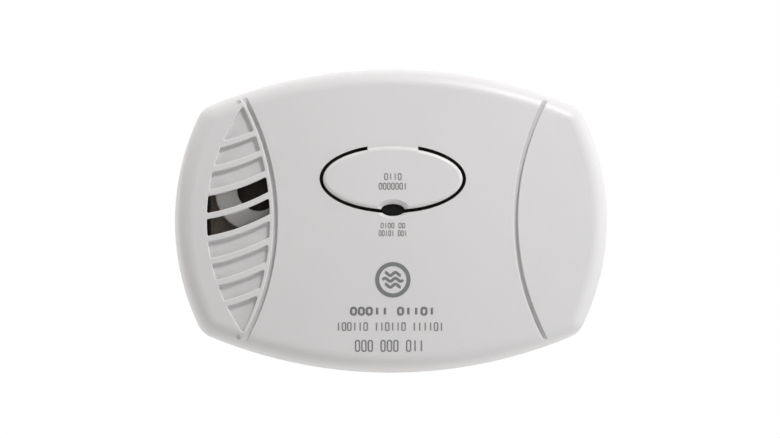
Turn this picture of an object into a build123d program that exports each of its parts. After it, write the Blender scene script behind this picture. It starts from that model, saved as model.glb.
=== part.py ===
from build123d import *
import os
from math import cos, radians, sin

# A battery carbon monoxide alarm on its wall bracket, in millimetres.
# X runs to the right and Z up as seen from the front; the wall is the plane Y = 0 and the face looks
# along -Y. "Depth" is the distance out from the wall, so a point at depth d has Y = -d.
# Shapes are drawn about the middle of the case, and moved at the end so that the origin is the middle
# of the bracket's wall face.

# overall case
case_width = 115.0
case_height = 80.8
case_depth = 38.0
side_bow = 64.4
top_bow = 125.0
corner_radius = 6.5
crown_radius = 380.0
edge_radius = 4.6
draft = 1.5

# walls, splits and clearances
part_depth = 12.0
wall_gap = 0.5
cover_wall = 2.0
housing_inset = 0.6
housing_wall = 1.8
back_thickness = 2.0
back_round = 1.2
lip_height = 2.0
lip_wall = 1.3
lip_clearance = 0.25
shoulder_height = 2.0
hairline = 0.05
soft_edge = 0.25
past = 1.0
merge = 0.2

# grooves in the front face
groove_bow = 67.0
groove_middle = 32.6
groove_width = 1.07
groove_cut = 1.1
groove_pitch = 1.55

# grille
lens_bow = 52.0
lens_left = -49.3
rib_count = 8
rib_pitch = 6.07
rib_width = 1.57
rib_bow = 54.0
rib_slope = 19.0
rib_x = -40.7
rib_z = 0.04
open_cells = (4, 5)
cell_corner = 0.38
grille_cut = 1.1
grille_floor = 2.4
pad_margin = 1.6

# test button and its hinge web
button_z = 10.8
button_a = 18.5
button_b = 8.2
button_gap = 0.95
button_skin = 1.8
button_skirt = 1.5
button_skirt_depth = 6.0
button_round = 1.0
button_proud = 0.6
web_half = 6.6
web_radius = 0.45
web_sink = 0.6
web_clearance = 0.08

# indicator window
lamp_drop = 0.1
lamp_a = 3.15
lamp_b = 1.6
lamp_clearance = 0.35
lamp_sink = 0.9
scoop_reach = 1.3
scoop_cut = 1.0
window_thickness = 1.6
lamp_plug = 2.0
lamp_spacing = 2.2
lamp_chip = 0.7
shield_wall = 0.55

# circuit board
board_gap = 1.15
board_thickness = 1.6
board_wide = (96.0, 32.0, 2.0)
board_tall = (74.0, 60.0, 0.0)
board_corner = 2.5
post_radius = 3.0
board_posts = ((30.0, 26.0), (42.0, -8.0))

# screws
screw_radius = 1.15
screw_head_radius = 2.4
screw_head_height = 1.6
screw_head_round = 0.6
screw_slot_depth = 0.9
screw_slot_length = 2.6
screw_slot_width = 0.5
screw_clearance = 0.3
screw_bite = 0.05
screw_reach = 12.0
board_screw_reach = 7.0
case_screw_x = 44.0
case_screw_z = 24.0
sleeve_radius = 3.8
boss_radius = 3.2
head_seat = 7.0

# test switch
switch_drop = 0.8
switch_size = 6.0
switch_height = 3.4
plunger_radius = 1.6
plunger_stand = 1.4
plunger_travel = 0.4
plunger_seat = 1.0
plunger_round = 0.3
switch_slack = 0.05
post_gap = 0.08
push_radius = 1.2

# horn
horn_x = -35.5
horn_z = 8.0
horn_radius = 11.6
horn_mouth = 5.6
horn_gap = 2.25
horn_wall = 1.2
horn_round = 0.6
mouth_round = 0.4
disc_thickness = 0.4
ceramic_thickness = 0.25
disc_stand = 4.4
ledge_width = 1.0

# gas sensor
sensor_x = 34.0
sensor_z = 4.0
sensor_radius = 9.5
sensor_height = 8.2
sensor_stand = 0.2
sensor_rim = 2.0
filter_thickness = 1.8
cap_thickness = 1.0
vent_hole = 0.8
vent_ring = 6

# battery bay, cells and door
cell_radius = 7.25
cell_length = 49.5
nub_radius = 2.75
nub_height = 1.0
cell_edge = 0.5
cell_gap = 0.7
cell_slack = 0.35
bay_middle = -18.0
spring_room = 5.6
plate_thickness = 0.5
plate_slack = 0.1
plate_inset = 1.0
tail_half = 1.2
bay_wall = 1.4
spring_wall = 0.6
door_gap = 0.3
door_thickness = 1.8
barrel_radius = 1.5
trunnion_radius = 1.0
trunnion_reach = 1.0
hinge_clearance = 0.06
latch_width = 9.0
latch_reach = 2.2
latch_thickness = 1.2
thumb_cut = 0.7

# wall bracket and the recess that covers it
bracket_width = 64.0
bracket_height = 24.0
bracket_thickness = 2.0
bracket_rise = 20.0
bracket_gap = 0.4
bracket_corner = 3.0
recess_margin = 1.0
lift = 7.0
wall_hole_spacing = 50.0
wall_hole_radius = 2.2
hook_x = 12.0
hook_width = 6.0
hook_stem = 2.0
hook_lip = 4.5
hook_lip_thickness = 1.5
hook_drop = 5.0
hook_clearance = 0.4

# rear label and vents
label_width = 13.0
label_height = 26.0
label_x = 43.0
label_z = -1.0
label_thickness = 0.15
label_corner = 1.5
vent_count = 5
vent_pitch = 3.5
vent_width = 1.6
vent_length = 10.0
vent_x = -41.0
vent_z = 7.0

# small parts on the board
controller_places = ((4.0, -7.0, 8.7),)
chip_places = ((-7.0, -22.0, 4.9), (18.0, 24.0, 4.9))
chip_height = 1.5
chip_width = 3.9
chip_stand = 0.15
lead_pitch = 1.27
lead_width = 0.4
lead_reach = 1.0
lead_thickness = 0.3
resistor_rows = ((-20.0, -10.0, 6), (6.0, -25.0, 5))
resistor_pitch = 2.6
resistor_size = (1.0, 1.8, 0.5)
capacitor_rows = ((-20.0, -14.0, 4), (-9.0, 23.0, 4))
capacitor_pitch = 3.2
capacitor_size = (1.3, 2.0, 1.0)
can_places = ((-24.0, -23.0), (-15.0, -23.0))
can_radius = 3.15
can_height = 5.0
can_round = 0.4
can_base = 6.6
can_base_height = 0.8
inductor_place = (24.0, -20.0)
flange_radius = 4.2
flange_height = 1.0
winding_radius = 3.3
winding_height = 3.0
crystal_place = (17.0, -13.5)
crystal_size = (10.0, 4.0, 3.2)
crystal_round = 1.9
pin_radius = 0.4
pin_tail = 0.8

bay_half = (cell_length + nub_height + spring_room + 2 * plate_thickness) / 2 + plate_slack
bay_height = 4 * cell_radius + cell_gap + 2 * cell_slack
bay_bottom = bay_middle - bay_height / 2
bay_top = bay_middle + bay_height / 2
cell_depth = wall_gap + door_thickness + door_gap + cell_radius
bay_floor = cell_depth + cell_radius + cell_slack
cell_rows = (
    bay_middle + cell_radius + cell_gap / 2,
    bay_middle - cell_radius - cell_gap / 2,
)
hinge_z = bay_top - door_gap - barrel_radius
hinge_depth = wall_gap + barrel_radius
web_z = button_z + button_b + button_gap / 2 - lamp_drop
lamp_z = button_z - button_b - lamp_drop
switch_z = button_z - switch_drop
board_depth = bay_floor + bay_wall + board_gap
board_face = board_depth + board_thickness
panel_depth = bracket_thickness + bracket_gap
panel_back = panel_depth + back_thickness
recess_low = bracket_rise - bracket_height / 2 - recess_margin - lift
recess_high = bracket_rise + bracket_height / 2 + recess_margin
hook_top = bracket_rise + bracket_height / 2 - hook_drop
plate_face = bay_half - plate_slack - plate_thickness


def crown(z, x=0.0):
    """Depth of the crowned front face at a point."""
    return case_depth - (x * x + z * z) / (2 * crown_radius)


web_depth = crown(web_z) - web_sink
window_seat = crown(lamp_z) - lamp_sink - window_thickness
horn_top = crown(horn_z, horn_x) - grille_cut - grille_floor - horn_gap
sensor_base = board_face + sensor_stand
sensor_top = sensor_base + sensor_height
switch_face = board_face + switch_height
plunger_face = switch_face + plunger_stand


def prism(sketch, low, high, taper=0.0):
    """Extrude a front-view sketch from depth low to depth high."""
    return extrude(Plane.XZ.offset(low) * sketch, amount=high - low, taper=taper)


def block(x0, x1, z0, z1, low, high):
    middle = Pos((x0 + x1) / 2, (z0 + z1) / 2)
    return prism(middle * Rectangle(abs(x1 - x0), abs(z1 - z0)), low, high)


def rod(x, z, radius, low, high):
    return prism(Pos(x, z) * Circle(radius), low, high)


def on_board(x, z, length, width, height):
    """A block that stands on the board's face, centred at a point."""
    return prism(Pos(x, z) * Rectangle(length, width), board_face, board_face + height)


def rod_along_x(half, z, depth, radius):
    return Pos(0, -depth, z) * Rot(0, 90, 0) * Cylinder(radius, 2 * half)


def mirrored(points):
    return [(side * x, z) for x, z in points for side in (-1, 1)]


def case_screw_places():
    return mirrored([(case_screw_x, case_screw_z), (case_screw_x, -case_screw_z)])


def case_outline(inset=0.0):
    half_w = case_width / 2
    half_h = case_height / 2
    right = Pos(half_w - side_bow, 0) * Circle(side_bow - inset)
    right += Pos(-side_bow / 2, 0) * Rectangle(case_width - side_bow, 2 * (side_bow - inset))
    shape = right & mirror(right, Plane.YZ)
    shape &= Pos(0, half_h - top_bow) * Circle(top_bow - inset)
    shape &= Pos(0, top_bow - half_h) * Circle(top_bow - inset)
    return fillet(shape.vertices(), corner_radius - inset)


def dome(sink=0.0):
    """Solid ball whose near surface is the front face, sunk by a distance."""
    return Pos(0, crown_radius - case_depth, 0) * Sphere(crown_radius - sink)


def case_body(inset, rim):
    """The cover's outer form, or the same form inset on every side."""
    body = prism(case_outline(inset), part_depth, case_depth + past, draft)
    body &= dome(inset)
    face = body.faces().filter_by(GeomType.SPHERE)[0]
    return fillet(face.edges(), rim)


def arc_band(x, bow, width):
    """A band along the arc that bulges to -X at x."""
    centre = Pos(x + bow, 0)
    return centre * Circle(bow + width / 2) - centre * Circle(bow - width / 2)


def groove_sketches():
    """One groove on the right; on the left one beside the grille and one that runs on from its tips."""
    right = arc_band(groove_middle, groove_bow, groove_width)
    beside = mirror(arc_band(groove_middle - groove_pitch, groove_bow, groove_width), Plane.YZ)
    tips = mirror(arc_band(groove_middle + groove_width / 2, groove_bow, groove_width), Plane.YZ)
    return [right, beside, tips - lens_outline(groove_width)]


def lens_outline(margin=0.0):
    right = Pos(-groove_middle - groove_bow, 0) * Circle(groove_bow + margin)
    left = Pos(lens_left + lens_bow, 0) * Circle(lens_bow + margin)
    return right & left


def rib_band(index):
    """Rib 1 is the top one; each is an arc that sags and rises to the right."""
    middle_z = rib_z + ((rib_count + 1) / 2 - index) * rib_pitch
    lean = radians(rib_slope)
    centre = Pos(rib_x - rib_bow * sin(lean), middle_z + rib_bow * cos(lean))
    return centre * Circle(rib_bow + rib_width / 2) - centre * Circle(rib_bow - rib_width / 2)


def grille_cells():
    """The openings between the ribs, from the top one down."""
    cells = lens_outline()
    for index in range(1, rib_count + 1):
        cells -= rib_band(index)
    cells = fillet(cells.vertices(), cell_corner)
    return cells.faces().sort_by(Axis.Y, reverse=True)


def button_outline(grow=0.0):
    return Pos(0, button_z) * Ellipse(button_a + grow, button_b + grow)


def lamp_outline(grow=0.0):
    return Pos(0, lamp_z) * Ellipse(lamp_a + grow, lamp_b + grow)


def lamp_scoop():
    """The funnel round the indicator window, shared by the cover and the button."""
    top = crown(lamp_z)
    small = Plane.XZ.offset(top - scoop_cut) * lamp_outline()
    large = Plane.XZ.offset(top + button_proud) * lamp_outline(scoop_reach)
    return loft([small, large])


def web_channel():
    """Room in the cover for the button's hinge web."""
    half = web_half + web_clearance
    radius = web_radius + web_clearance
    channel = rod_along_x(half, web_z, web_depth, radius)
    channel += block(-half, half, web_z - 2 * radius, web_z + radius, web_depth, case_depth + past)
    return channel


def face_edges(cover):
    """The edges of the grille and the grooves that lie on the crowned front face."""
    centre = Vector(0, crown_radius - case_depth, 0)
    edges = []
    for edge in cover.edges():
        middle = edge @ 0.5
        on_face = abs((middle - centre).length - crown_radius) < soft_edge / 10
        if on_face and abs(middle.X) > button_a + button_gap + edge_radius:
            edges.append(edge)
    return edges


def front_cover():
    outer = case_body(0, edge_radius)
    cover = outer - case_body(cover_wall, edge_radius - cover_wall)
    pad = prism(lens_outline(pad_margin), part_depth, case_depth + past)
    pad &= case_body(cover_wall / 2, edge_radius - cover_wall / 2)
    cover += pad - dome(grille_cut + grille_floor)
    cells = grille_cells()
    for number, cell in enumerate(cells, start=1):
        pocket = prism(cell, part_depth, case_depth + past)
        cover -= pocket if number in open_cells else pocket - dome(grille_cut)
    for band in groove_sketches():
        cover -= prism(band, part_depth, case_depth + past) - dome(groove_cut)
    for x, z in case_screw_places():
        boss = rod(x, z, boss_radius, part_depth + merge, case_depth)
        boss &= case_body(cover_wall / 2, edge_radius - cover_wall / 2)
        cover += boss
        cover -= rod(x, z, screw_radius + screw_bite, part_depth, head_seat + screw_reach + past)
    cover -= prism(button_outline(button_gap), part_depth, case_depth + past)
    cover -= prism(lamp_outline(), part_depth, case_depth + past)
    cover -= lamp_scoop()
    cover -= web_channel()
    return fillet(face_edges(cover), soft_edge)


def test_button():
    skirt_foot = crown(button_z) - button_skirt_depth
    button = prism(button_outline() - lamp_outline(), skirt_foot, case_depth + 2 * past)
    button &= dome(-button_proud)
    button = fillet(button.faces().filter_by(GeomType.SPHERE)[0].edges(), button_round)
    inside = button_outline(-button_skirt) - lamp_outline(button_skirt)
    hollow = prism(inside, part_depth, case_depth + past) & dome(button_skin - button_proud)
    button -= hollow
    button += rod_along_x(web_half, web_z, web_depth, web_radius)
    web_low = web_z - button_gap - past
    button += block(-web_half, web_half, web_low, web_z, web_depth - web_radius, web_depth + web_radius)
    button += rod(0, switch_z, push_radius, plunger_face + post_gap, case_depth - button_skin / 2)
    return button - lamp_scoop()


def indicator_window():
    lens = prism(lamp_outline(-lamp_clearance), window_seat, case_depth) & dome(lamp_sink)
    plug_grow = -lamp_clearance - shield_wall - hairline
    lens += prism(lamp_outline(plug_grow), window_seat - lamp_plug, window_seat + merge)
    return lens


def light_shield():
    tube = prism(lamp_outline(-lamp_clearance), board_face, window_seat)
    tube -= prism(lamp_outline(-lamp_clearance - shield_wall), board_face - past, window_seat + past)
    return tube


def indicator_lamps():
    places = [(-lamp_spacing / 2, lamp_z), (lamp_spacing / 2, lamp_z)]
    return [on_board(x, z, lamp_chip, lamp_chip, lamp_chip) for x, z in places]


def screw(x, z, seat, reach, outward):
    """A pan-head screw with a cross recess; outward is +1 for a head that faces the front."""
    tip = seat - outward * reach
    top = seat + outward * screw_head_height
    body = rod(x, z, screw_radius, min(tip, seat), max(tip, seat))
    head = rod(x, z, screw_head_radius, min(seat, top), max(seat, top))
    rim = head.edges().filter_by(GeomType.CIRCLE).sort_by(Axis.Y)
    head = fillet(rim[0] if outward > 0 else rim[-1], screw_head_round)
    slot_low = min(top, top - outward * screw_slot_depth)
    slot_high = max(top, top - outward * screw_slot_depth)
    long = screw_slot_length / 2
    short = screw_slot_width / 2
    head -= block(x - long, x + long, z - short, z + short, slot_low, slot_high)
    head -= block(x - short, x + short, z - long, z + long, slot_low, slot_high)
    return body + head


def case_screws():
    return [screw(x, z, head_seat, screw_reach, -1) for x, z in case_screw_places()]


def board_screws():
    return [screw(x, z, board_face, board_screw_reach, 1) for x, z in mirrored(board_posts)]


def rear_housing():
    rim = case_outline(housing_inset)
    inner_rim = case_outline(housing_inset + housing_wall)
    lip_inset = cover_wall + lip_clearance
    housing = prism(rim, wall_gap, part_depth)
    back_edge = housing.faces().sort_by(Axis.Y)[-1].edges()
    housing = fillet(back_edge, back_round)
    housing -= prism(inner_rim, wall_gap + back_thickness, part_depth)
    housing += prism(rim - case_outline(lip_inset + lip_wall), part_depth - shoulder_height, part_depth)
    lip = case_outline(lip_inset) - case_outline(lip_inset + lip_wall)
    housing += prism(lip, part_depth, part_depth + lip_height)
    housing += bracket_recess_walls() + bay_walls()
    for x, z in case_screw_places():
        housing += rod(x, z, sleeve_radius, wall_gap, part_depth - hairline)
        housing -= rod(x, z, screw_radius + screw_clearance, 0, part_depth + past)
        housing -= rod(x, z, screw_head_radius + screw_clearance, 0, head_seat)
    for x, z in mirrored(board_posts):
        housing += rod(x, z, post_radius, wall_gap + back_thickness / 2, board_depth)
        hole_foot = board_face - board_screw_reach - past
        housing -= rod(x, z, screw_radius + screw_bite, hole_foot, board_depth + past)
    for x in (-bay_half / 2, bay_half / 2):
        housing += rod(x, bay_bottom + post_radius, post_radius / 2, bay_floor, board_depth)
    housing -= bracket_recess()
    housing -= block(-bay_half, bay_half, bay_bottom, bay_top, 0, bay_floor)
    housing -= tail_slots(hairline)
    housing -= hinge_bores()
    housing -= hook_windows()
    housing -= rear_vents()
    return housing


def bracket_recess():
    half = bracket_width / 2 + recess_margin
    return block(-half, half, recess_low, recess_high, 0, panel_depth)


def bracket_recess_walls():
    half = bracket_width / 2 + recess_margin + housing_wall
    low = recess_low - housing_wall
    walls = block(-half, half, low, recess_high + housing_wall, wall_gap, panel_back)
    return walls & prism(case_outline(2 * housing_inset), 0, panel_back)


def bay_walls():
    half = bay_half + bay_wall
    top = bay_floor + bay_wall
    walls = block(-half, half, bay_bottom - bay_wall, bay_top + bay_wall, wall_gap, top)
    inside = case_outline(cover_wall + lip_clearance + housing_inset)
    return walls & prism(inside, wall_gap, top)


def hinge_bores():
    bore = trunnion_radius + hinge_clearance
    return rod_along_x(bay_half + trunnion_reach, hinge_z, hinge_depth, bore)


def hook_windows():
    """Slots that drop over the bracket's hooks, tall enough for the lift."""
    half = hook_width / 2 + hook_clearance
    top = hook_top + hairline
    low = hook_top - hook_stem - lift - hook_clearance
    back = panel_back + past
    return Part() + [block(x - half, x + half, low, top, 0, back) for x in (-hook_x, hook_x)]


def rear_vents():
    back = wall_gap + back_thickness + past
    slots = []
    for index in range(vent_count):
        z = vent_z + (index - (vent_count - 1) / 2) * vent_pitch
        slots.append(prism(Pos(vent_x, z) * Rectangle(vent_length, vent_width), 0, back))
    return Part() + slots


def battery_door():
    half = bay_half - door_gap
    low = bay_bottom + door_gap
    back = wall_gap + door_thickness
    door = block(-half, half, low, hinge_z, wall_gap, back)
    door += rod_along_x(half, hinge_z, hinge_depth, barrel_radius)
    door += rod_along_x(bay_half + trunnion_reach - hairline, hinge_z, hinge_depth, trunnion_radius)
    door += latch_tongue(low + latch_thickness / 3, back)
    thumb = Pos(0, low + latch_width / 3) * Ellipse(latch_width, latch_width / 3)
    panel = Pos(0, low + bay_height / 2) * Rectangle(2 * half, bay_height)
    return door - prism(thumb & panel, 0, wall_gap + thumb_cut)


def latch_tongue(low, foot):
    half = latch_width / 2
    return block(-half, half, low, low + latch_thickness, foot - merge, foot + latch_reach)


def battery_cells():
    """Two cells side by side, facing opposite ways."""
    cells = []
    for side, z in zip((-1, 1), cell_rows):
        middle = side * (plate_face - nub_height - cell_length / 2)
        can = Pos(middle, -cell_depth, z) * Rot(0, 90, 0) * Cylinder(cell_radius, cell_length)
        can = fillet(can.edges().filter_by(GeomType.CIRCLE), cell_edge)
        nub = Rot(0, 90, 0) * Cylinder(nub_radius, nub_height - hairline)
        nub_middle = side * (plate_face - nub_height / 2 - hairline / 2)
        cells.append(can + Pos(nub_middle, -cell_depth, z) * nub)
    return cells


def contact_springs():
    """One spring on the flat end of each cell, as a tapered sleeve."""
    length = spring_room - 2 * hairline
    outside = Cone(nub_radius, 2 * nub_radius, length)
    sleeve = outside - Cone(nub_radius - spring_wall, 2 * nub_radius - spring_wall, length)
    springs = []
    for side, z in zip((-1, 1), cell_rows):
        middle = -side * (plate_face - spring_room / 2)
        springs.append(Pos(middle, -cell_depth, z) * Rot(0, -side * 90, 0) * Rot(180, 0, 0) * sleeve)
    return springs


def contact_plates():
    """One bridge plate on the left, and two separate plates with tails to the board on the right."""
    near = plate_face
    far = plate_face + plate_thickness
    half = cell_radius - plate_inset
    low = cell_depth - half
    high = cell_depth + half
    plates = [block(-far, -near, cell_rows[1] - half, cell_rows[0] + half, low, high)]
    for z in cell_rows:
        plate = block(near, far, z - half, z + half, low, high)
        plate += block(near, far, z - tail_half, z + tail_half, high, board_face + pin_tail)
        plates.append(plate)
    return plates


def tail_slots(grow):
    """Where the plate tails pass through the bay floor and the board."""
    near = plate_face - grow
    far = plate_face + plate_thickness + grow
    half = tail_half + grow
    top = board_face + past
    return Part() + [block(near, far, z - half, z + half, cell_depth, top) for z in cell_rows]


def circuit_board():
    shape = Pos(0, board_wide[2]) * RectangleRounded(board_wide[0], board_wide[1], board_corner)
    shape += Pos(0, board_tall[2]) * RectangleRounded(board_tall[0], board_tall[1], board_corner)
    board = prism(shape, board_depth, board_face)
    for x, z in mirrored(board_posts):
        board -= rod(x, z, screw_radius + screw_clearance, board_depth - past, board_face + past)
    for x, z in horn_pin_places() + sensor_pin_places():
        board -= rod(x, z, pin_radius + hairline, board_depth - past, board_face + past)
    return board - tail_slots(pin_radius)


def switch_body():
    half = switch_size / 2
    body = block(-half, half, switch_z - half, switch_z + half, board_face, switch_face)
    bore = plunger_radius + switch_slack
    return body - rod(0, switch_z, bore, board_face + plunger_seat, switch_face + past)


def switch_plunger():
    foot = board_face + plunger_seat + plunger_travel + switch_slack
    plunger = rod(0, switch_z, plunger_radius, foot, plunger_face)
    return fillet(plunger.edges().filter_by(GeomType.CIRCLE).sort_by(Axis.Y)[0], plunger_round)


def horn_housing():
    disc_face = board_face + disc_stand + disc_thickness
    chamber = horn_radius - horn_wall
    shell = rod(horn_x, horn_z, horn_radius, board_face, horn_top)
    shell = fillet(shell.edges().filter_by(GeomType.CIRCLE).sort_by(Axis.Y)[0], horn_round)
    shell -= rod(horn_x, horn_z, chamber, board_face - past, disc_face)
    shell -= rod(horn_x, horn_z, chamber - ledge_width, disc_face - past, horn_top - horn_wall)
    shell -= rod(horn_x, horn_z, horn_mouth, board_face, horn_top + past)
    mouth = shell.edges().filter_by(GeomType.CIRCLE).sort_by(Axis.Y)[0:2].sort_by(SortBy.RADIUS)[0]
    return fillet(mouth, mouth_round)


def horn_disc():
    low = board_face + disc_stand
    high = low + disc_thickness
    disc = rod(horn_x, horn_z, horn_radius - horn_wall - hairline, low, high)
    return disc + rod(horn_x, horn_z, horn_radius / 2, high, high + ceramic_thickness)


def horn_pin_places():
    return [(horn_x - horn_radius / 2, horn_z), (horn_x + horn_radius / 2, horn_z)]


def pins(places, top):
    return [rod(x, z, pin_radius, board_depth - pin_tail, top) for x, z in places]


def sensor_pin_places():
    reach = sensor_radius / 2
    return [(sensor_x - reach, sensor_z), (sensor_x + reach, sensor_z), (sensor_x, sensor_z + reach)]


def sensor_can():
    can = rod(sensor_x, sensor_z, sensor_radius, sensor_base, sensor_top)
    well = sensor_radius - sensor_rim
    return can - rod(sensor_x, sensor_z, well, sensor_top - filter_thickness, sensor_top + past)


def sensor_filter():
    radius = sensor_radius - sensor_rim - hairline
    return rod(sensor_x, sensor_z, radius, sensor_top - filter_thickness, sensor_top)


def sensor_cap():
    top = sensor_top + cap_thickness
    cap = rod(sensor_x, sensor_z, sensor_radius, sensor_top, top)
    cap = fillet(cap.edges().filter_by(GeomType.CIRCLE).sort_by(Axis.Y)[0], cap_thickness / 2)
    holes = [Pos(sensor_x, sensor_z) * Circle(vent_hole)]
    for place in PolarLocations(sensor_radius / 2, vent_ring):
        holes.append(Pos(sensor_x, sensor_z) * place * Circle(vent_hole))
    return cap - prism(Sketch() + holes, sensor_top - past, top + past)


def chip_bodies(places):
    low = board_face + chip_stand
    high = board_face + chip_height
    return [prism(Pos(x, z) * Rectangle(length, chip_width), low, high) for x, z, length in places]


def chip_leads():
    leads = []
    for x, z, length in controller_places + chip_places:
        count = int((length - lead_width) / lead_pitch)
        for index in range(count):
            lead_x = x + (index - (count - 1) / 2) * lead_pitch
            for side in (-1, 1):
                lead_z = z + side * (chip_width + lead_reach) / 2
                leads.append(on_board(lead_x, lead_z, lead_width, lead_reach, lead_thickness))
    return leads


def board_rows(rows, pitch, size):
    """Rows of equal blocks on the board; a row is its first place and its count."""
    return [on_board(x + index * pitch, z, *size) for x, z, count in rows for index in range(count)]


def resistors():
    return board_rows(resistor_rows, resistor_pitch, resistor_size)


def ceramic_capacitors():
    return board_rows(capacitor_rows, capacitor_pitch, capacitor_size)


def electrolytic_capacitors():
    low = board_face + can_base_height
    cans = []
    for x, z in can_places:
        can = rod(x, z, can_radius, low, low + can_height)
        can = fillet(can.edges().filter_by(GeomType.CIRCLE).sort_by(Axis.Y)[0], can_round)
        cans.append(can + on_board(x, z, can_base, can_base, can_base_height))
    return cans


def boost_inductor():
    x, z = inductor_place
    low = board_face + flange_height
    high = low + winding_height
    spool = rod(x, z, flange_radius, board_face, low) + rod(x, z, winding_radius, low, high)
    return spool + rod(x, z, flange_radius, high, high + flange_height)


def crystal():
    can = on_board(*crystal_place, *crystal_size)
    return fillet(can.edges().filter_by(Axis.Y), crystal_round)


def rear_label():
    paper = Pos(label_x, label_z) * RectangleRounded(label_width, label_height, label_corner)
    return prism(paper, wall_gap - label_thickness, wall_gap)


def mounting_bracket():
    outline = Pos(0, bracket_rise) * RectangleRounded(bracket_width, bracket_height, bracket_corner)
    plate = prism(outline, 0, bracket_thickness)
    for x in (-wall_hole_spacing / 2, wall_hole_spacing / 2):
        plate -= rod(x, bracket_rise, wall_hole_radius, -past, bracket_thickness + past)
    lip_low = panel_back + hook_clearance
    lip_high = lip_low + hook_lip_thickness
    for x in (-hook_x, hook_x):
        half = hook_width / 2
        plate += block(x - half, x + half, hook_top - hook_stem, hook_top, bracket_thickness, lip_high)
        plate += block(x - half, x + half, hook_top - hook_stem, hook_top + hook_lip, lip_low, lip_high)
    return plate


def save(name, shape):
    """Write one node, moved so that the origin is the middle of the bracket's wall face."""
    pieces = shape if isinstance(shape, list) else [shape]
    drop = Pos(0, 0, -bracket_rise)
    solids = [drop * solid for piece in pieces for solid in piece.solids()]
    export_step(solids[0] if len(solids) == 1 else Compound(children=solids), f"parts/{name}.step")


os.makedirs("parts", exist_ok=True)
save("front_cover", front_cover())
save("rear_housing", rear_housing())
save("test_button", test_button())
save("indicator_window", indicator_window())
save("light_shield", light_shield())
save("indicator_lamps", indicator_lamps())
save("circuit_board", circuit_board())
save("switch_body", switch_body())
save("switch_plunger", switch_plunger())
save("horn_housing", horn_housing())
save("horn_disc", horn_disc())
save("horn_pins", pins(horn_pin_places(), board_face + disc_stand))
save("sensor_can", sensor_can())
save("sensor_filter", sensor_filter())
save("sensor_cap", sensor_cap())
save("sensor_pins", pins(sensor_pin_places(), board_face + sensor_stand))
save("microcontroller", chip_bodies(controller_places))
save("logic_chips", chip_bodies(chip_places))
save("chip_leads", chip_leads())
save("resistors", resistors())
save("ceramic_capacitors", ceramic_capacitors())
save("electrolytic_capacitors", electrolytic_capacitors())
save("boost_inductor", boost_inductor())
save("crystal", crystal())
save("battery_cells", battery_cells())
save("contact_springs", contact_springs())
save("contact_plates", contact_plates())
save("battery_door", battery_door())
save("case_screws", case_screws())
save("board_screws", board_screws())
save("rear_label", rear_label())
save("mounting_bracket", mounting_bracket())
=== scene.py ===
import math

import bmesh
import bpy
from mathutils import Matrix, Vector


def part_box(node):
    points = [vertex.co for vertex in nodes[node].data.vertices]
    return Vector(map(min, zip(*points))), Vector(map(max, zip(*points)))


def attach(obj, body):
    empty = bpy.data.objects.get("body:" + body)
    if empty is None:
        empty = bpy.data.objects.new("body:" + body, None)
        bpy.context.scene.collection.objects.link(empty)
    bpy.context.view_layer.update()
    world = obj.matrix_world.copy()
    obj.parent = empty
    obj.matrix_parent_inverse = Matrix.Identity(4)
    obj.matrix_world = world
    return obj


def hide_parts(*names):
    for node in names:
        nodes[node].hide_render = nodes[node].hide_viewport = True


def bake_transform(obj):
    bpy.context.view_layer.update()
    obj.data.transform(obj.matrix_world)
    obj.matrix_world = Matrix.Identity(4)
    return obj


# A battery carbon monoxide alarm on its wall bracket: bowed white case, lens-shaped grille with sloping
# ribs, raised oval test button on a hinge web, smoked indicator window, grey printed marks. In metres.
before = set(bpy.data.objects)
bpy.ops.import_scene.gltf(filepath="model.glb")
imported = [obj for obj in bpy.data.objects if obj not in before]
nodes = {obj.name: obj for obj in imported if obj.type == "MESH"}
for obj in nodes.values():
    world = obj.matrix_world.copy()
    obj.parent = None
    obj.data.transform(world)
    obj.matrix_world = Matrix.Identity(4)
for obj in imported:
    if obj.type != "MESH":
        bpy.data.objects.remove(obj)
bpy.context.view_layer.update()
MM = 0.001

# ---- places and sizes that the frame gives
cover_low, cover_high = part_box("front_cover")
button_low, button_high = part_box("test_button")
cells_low, cells_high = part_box("battery_cells")
door_low, door_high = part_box("battery_door")
label_low, label_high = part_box("rear_label")
CASE_X = (cover_low.x + cover_high.x) / 2
CASE_Z = (cover_low.z + cover_high.z) / 2
FACE_Y = cover_low.y
CROWN = 380 * MM
BUTTON_LIFT = 0.6 * MM
CELL_GAP = 0.7 * MM
CELL_RADIUS = (cells_high.z - cells_low.z - CELL_GAP) / 4
CELL_Y = (cells_low.y + cells_high.y) / 2
CELL_ROWS = (cells_high.z - CELL_RADIUS, cells_low.z + CELL_RADIUS)


def face_y(x, z, lift=0.0):
    """Y of the crowned front face at a point, or of a surface that stands off it by lift."""
    across = (x - CASE_X) ** 2 + (z - CASE_Z) ** 2
    return FACE_Y + CROWN - math.sqrt((CROWN + lift) ** 2 - across)


# ---- camera, light and floor
VIEW_WIDTH = 208.1 * MM
CAMERA_DISTANCE = 4.0
CAMERA_TURN = math.radians(-1.4)
CAMERA_DIP = math.radians(-1.1)
AIM_OFFSET = Vector((-0.13 * MM, 0, 0.60 * MM))
AIM_DEPTH = 12 * MM
SENSOR_WIDTH = 36.0
FLOOR_DROP = 0.28
FLOOR_RADIUS = 0.6
DOME_BELOW = (0.33, 0.315, 0.30, 1)
DOME_ABOVE = (1.08, 1.08, 1.09, 1)
DOME_IN_FRONT = 0.16
DOME_BEHIND = 1.2
DOME_TURN = 0.6


def point_at(thing, target):
    thing.rotation_euler = (target - thing.location).to_track_quat("-Z", "Y").to_euler()


def link(thing):
    bpy.context.scene.collection.objects.link(thing)
    return thing


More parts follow.
